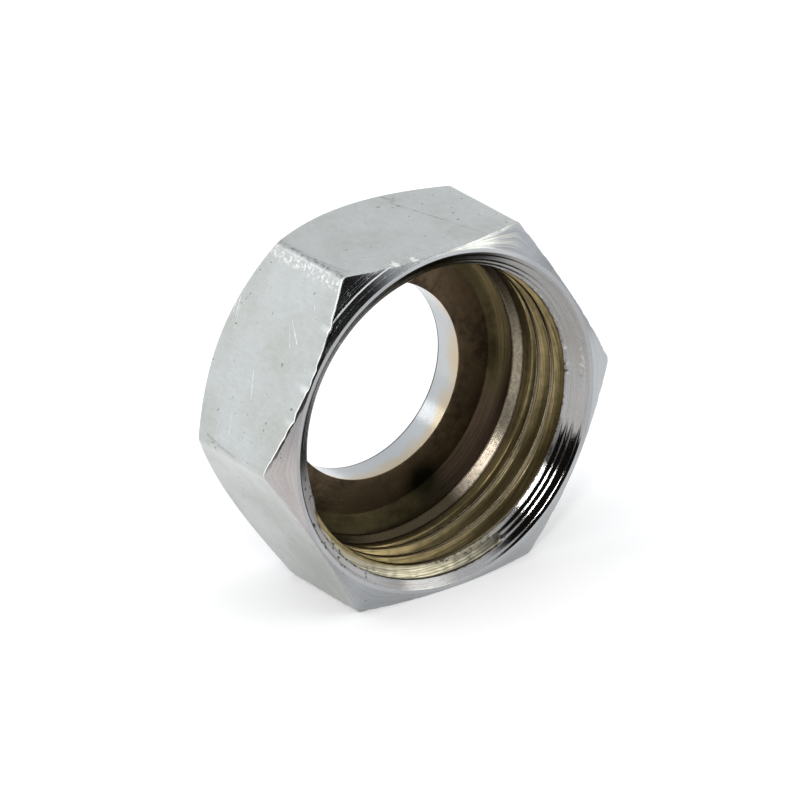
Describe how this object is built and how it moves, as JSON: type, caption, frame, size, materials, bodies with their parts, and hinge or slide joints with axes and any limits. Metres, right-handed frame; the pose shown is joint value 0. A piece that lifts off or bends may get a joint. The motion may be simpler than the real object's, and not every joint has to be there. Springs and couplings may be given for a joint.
{
  "type": "compression nut",
  "caption": "Plated brass hexagon compression nut: internal pipe thread, countersunk mouth, ring pocket with taper, and a shoulder bored for conduit.",
  "frame": {"origin": "on the thread axis, in the plane of the open front face", "axes": "+Y along the axis from the open mouth to the shoulder at the back, +Z square to the top flat, and the nut lies on the flat that faces -Z"},
  "size_m": [0.0416, 0.0161, 0.036],
  "materials": {
    "plated_brass": "satin nickel plate outside, thin plate over brass inside"
  },
  "bodies": {
    "root": {"compression_nut": "plated_brass"}
  },
  "joints": []
}
